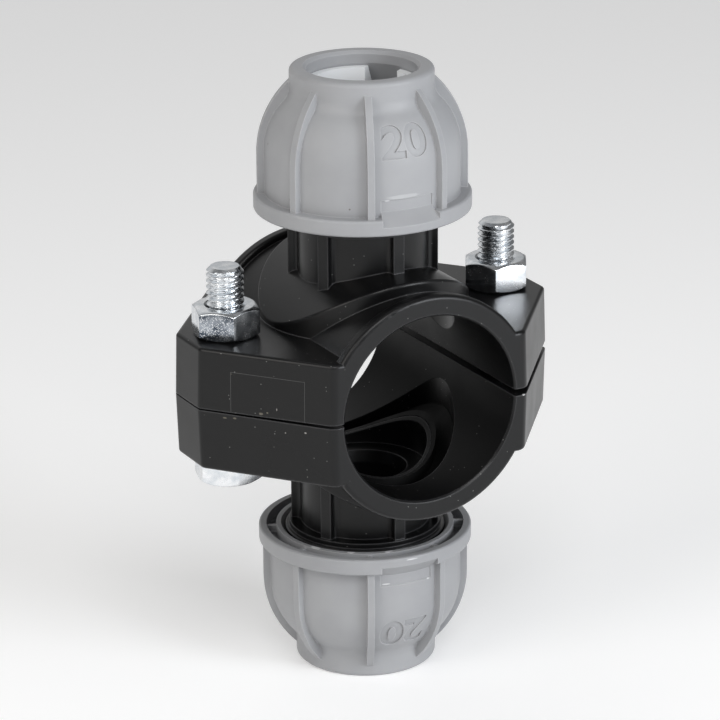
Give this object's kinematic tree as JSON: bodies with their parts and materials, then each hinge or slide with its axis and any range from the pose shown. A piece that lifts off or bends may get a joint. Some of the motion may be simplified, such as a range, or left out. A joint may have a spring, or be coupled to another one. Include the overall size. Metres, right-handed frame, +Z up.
{
  "type": "pipe tapping saddle",
  "caption": "Bolted clamp saddle in two moulded halves round a pipe, with an opposed compression socket for a branch pipe on each half.",
  "frame": {"origin": "where the axis of the clamped pipe crosses the axis of the two branches", "axes": "+Z up along the branches, Y along the clamped pipe, X along the line of the two bolts"},
  "size_m": [0.0832, 0.0584, 0.1313],
  "materials": {
    "black_moulding": "satin black polypropylene",
    "grey_moulding": "satin mid-grey polypropylene",
    "white_moulding": "satin white acetal",
    "black_rubber": "dull black rubber",
    "bright_zinc": "bright zinc plate"
  },
  "bodies": {
    "lower_half": {"lower_saddle": "black_moulding", "lower_saddle_gasket": "black_rubber", "lower_blocking_bush": "black_moulding", "lower_pipe_seal": "black_rubber", "left_bolt": "bright_zinc", "right_bolt": "bright_zinc"},
    "upper_half": {"upper_saddle": "black_moulding", "upper_saddle_gasket": "black_rubber", "upper_blocking_bush": "black_moulding", "upper_pipe_seal": "black_rubber"},
    "left_fastening": {"left_hex_nut": "bright_zinc"},
    "right_fastening": {"right_hex_nut": "bright_zinc"},
    "upper_grip": {"upper_split_ring": "white_moulding"},
    "upper_cap": {"upper_compression_nut": "grey_moulding"},
    "lower_grip": {"lower_split_ring": "white_moulding"},
    "lower_cap": {"lower_compression_nut": "grey_moulding"}
  },
  "joints": [
    {"name": "clamp_opening", "type": "slide", "parent": "lower_half", "child": "upper_half", "axis": [0, 0, 1], "range_m": [0, 0.008]},
    {"name": "left_nut_turn", "type": "hinge", "parent": "upper_half", "child": "left_fastening", "pos_m": [-0.0323, 0, 0.0165], "axis": [0, 0, 1], "range_deg": [0, 2304]},
    {"name": "right_nut_turn", "type": "hinge", "parent": "upper_half", "child": "right_fastening", "pos_m": [0.0323, 0, 0.0165], "axis": [0, 0, 1], "range_deg": [0, 2304]},
    {"name": "upper_grip_travel", "type": "slide", "parent": "upper_half", "child": "upper_grip", "axis": [0, 0, 1], "range_m": [0, 0.012]},
    {"name": "upper_cap_turn", "type": "hinge", "parent": "upper_grip", "child": "upper_cap", "pos_m": [0, 0, 0.05], "axis": [0, 0, 1], "range_deg": [0, 1080]},
    {"name": "lower_grip_travel", "type": "slide", "parent": "lower_half", "child": "lower_grip", "axis": [0, 0, -1], "range_m": [0, 0.012]},
    {"name": "lower_cap_turn", "type": "hinge", "parent": "lower_grip", "child": "lower_cap", "pos_m": [0, 0, -0.05], "axis": [0, 0, -1], "range_deg": [0, 1080]}
  ],
  "couplings": [
    {"joint": "left_nut_turn", "follows": "clamp_opening", "rad_per_m": 5026.5},
    {"joint": "right_nut_turn", "follows": "clamp_opening", "rad_per_m": 5026.5},
    {"joint": "upper_cap_turn", "follows": "upper_grip_travel", "rad_per_m": 1570.8},
    {"joint": "lower_cap_turn", "follows": "lower_grip_travel", "rad_per_m": 1570.8}
  ]
}
